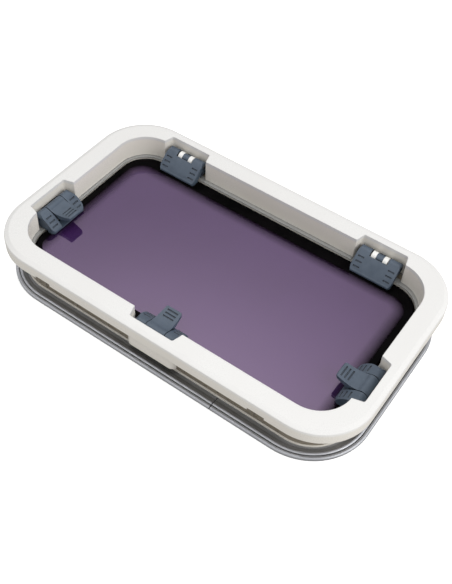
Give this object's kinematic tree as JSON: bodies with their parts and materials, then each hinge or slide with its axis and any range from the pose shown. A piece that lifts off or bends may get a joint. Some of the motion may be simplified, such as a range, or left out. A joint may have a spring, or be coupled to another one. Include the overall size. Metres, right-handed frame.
{
  "type": "deck hatch",
  "caption": "Rectangular inward-opening boat hatch: aluminium flange, white moulded inner frame and trim, tinted pane on hinges with thumb latches.",
  "frame": {"origin": "centre of the aluminium flange's outer face, at the base of the bounding box", "axes": "+X along the hatch's length, +Y towards the hinge side, +Z out of the flange's outer face towards the cabin side"},
  "size_m": [0.45, 0.2668, 0.06],
  "materials": {
    "anodised_aluminium": "satin anodised extrusion",
    "white_plastic": "satin-gloss off-white moulding",
    "blue_grey_plastic": "fine satin moulded blue-grey",
    "white_nylon": "smooth white nylon",
    "tinted_acrylic": "polished violet-grey tinted acrylic",
    "black_border": "glossy black border",
    "black_rubber": "matt black extruded rubber",
    "stainless_steel": "bright stainless steel"
  },
  "bodies": {
    "frame": {"outer_frame": "anodised_aluminium", "frame_joint_sleeve": "anodised_aluminium", "joint_sleeve_screws": "stainless_steel", "pane_seal": "black_rubber", "inner_frame": "white_plastic", "clamp_screws": "stainless_steel", "inner_trim": "white_plastic", "hinge_bracket_left": "blue_grey_plastic", "hinge_bracket_right": "blue_grey_plastic", "hinge_bracket_screws": "stainless_steel", "hinge_pin_left": "stainless_steel", "hinge_pin_right": "stainless_steel", "hinge_rings_left": "white_nylon", "hinge_rings_right": "white_nylon", "latch_keeper_left": "stainless_steel", "latch_keeper_right": "stainless_steel", "latch_keeper_near": "stainless_steel", "keeper_screws": "stainless_steel"},
    "pane": {"acrylic_pane": "tinted_acrylic", "border_mask": "black_border", "hinge_leaf_left": "blue_grey_plastic", "hinge_leaf_right": "blue_grey_plastic", "hinge_leaf_screws": "stainless_steel", "latch_base_left": "blue_grey_plastic", "latch_base_right": "blue_grey_plastic", "latch_base_near": "blue_grey_plastic", "latch_pin_left": "stainless_steel", "latch_pin_right": "stainless_steel", "latch_pin_near": "stainless_steel", "latch_base_screws": "stainless_steel"},
    "lever_left": {"latch_lever_left": "blue_grey_plastic"},
    "lever_right": {"latch_lever_right": "blue_grey_plastic"},
    "lever_near": {"latch_lever_near": "blue_grey_plastic"}
  },
  "joints": [
    {"name": "pane_hinge", "type": "hinge", "parent": "frame", "child": "pane", "pos_m": [0, 0.113, 0.0455], "axis": [-1, 0, 0], "range_deg": [0, 100]},
    {"name": "lever_left_turn", "type": "hinge", "parent": "pane", "child": "lever_left", "pos_m": [-0.2025, -0.042, 0.0435], "axis": [0, -1, 0], "range_deg": [0, 85]},
    {"name": "lever_right_turn", "type": "hinge", "parent": "pane", "child": "lever_right", "pos_m": [0.2025, -0.042, 0.0435], "axis": [0, 1, 0], "range_deg": [0, 85]},
    {"name": "lever_near_turn", "type": "hinge", "parent": "pane", "child": "lever_near", "pos_m": [-0.0015, -0.112, 0.0435], "axis": [1, 0, 0], "range_deg": [0, 85]}
  ]
}
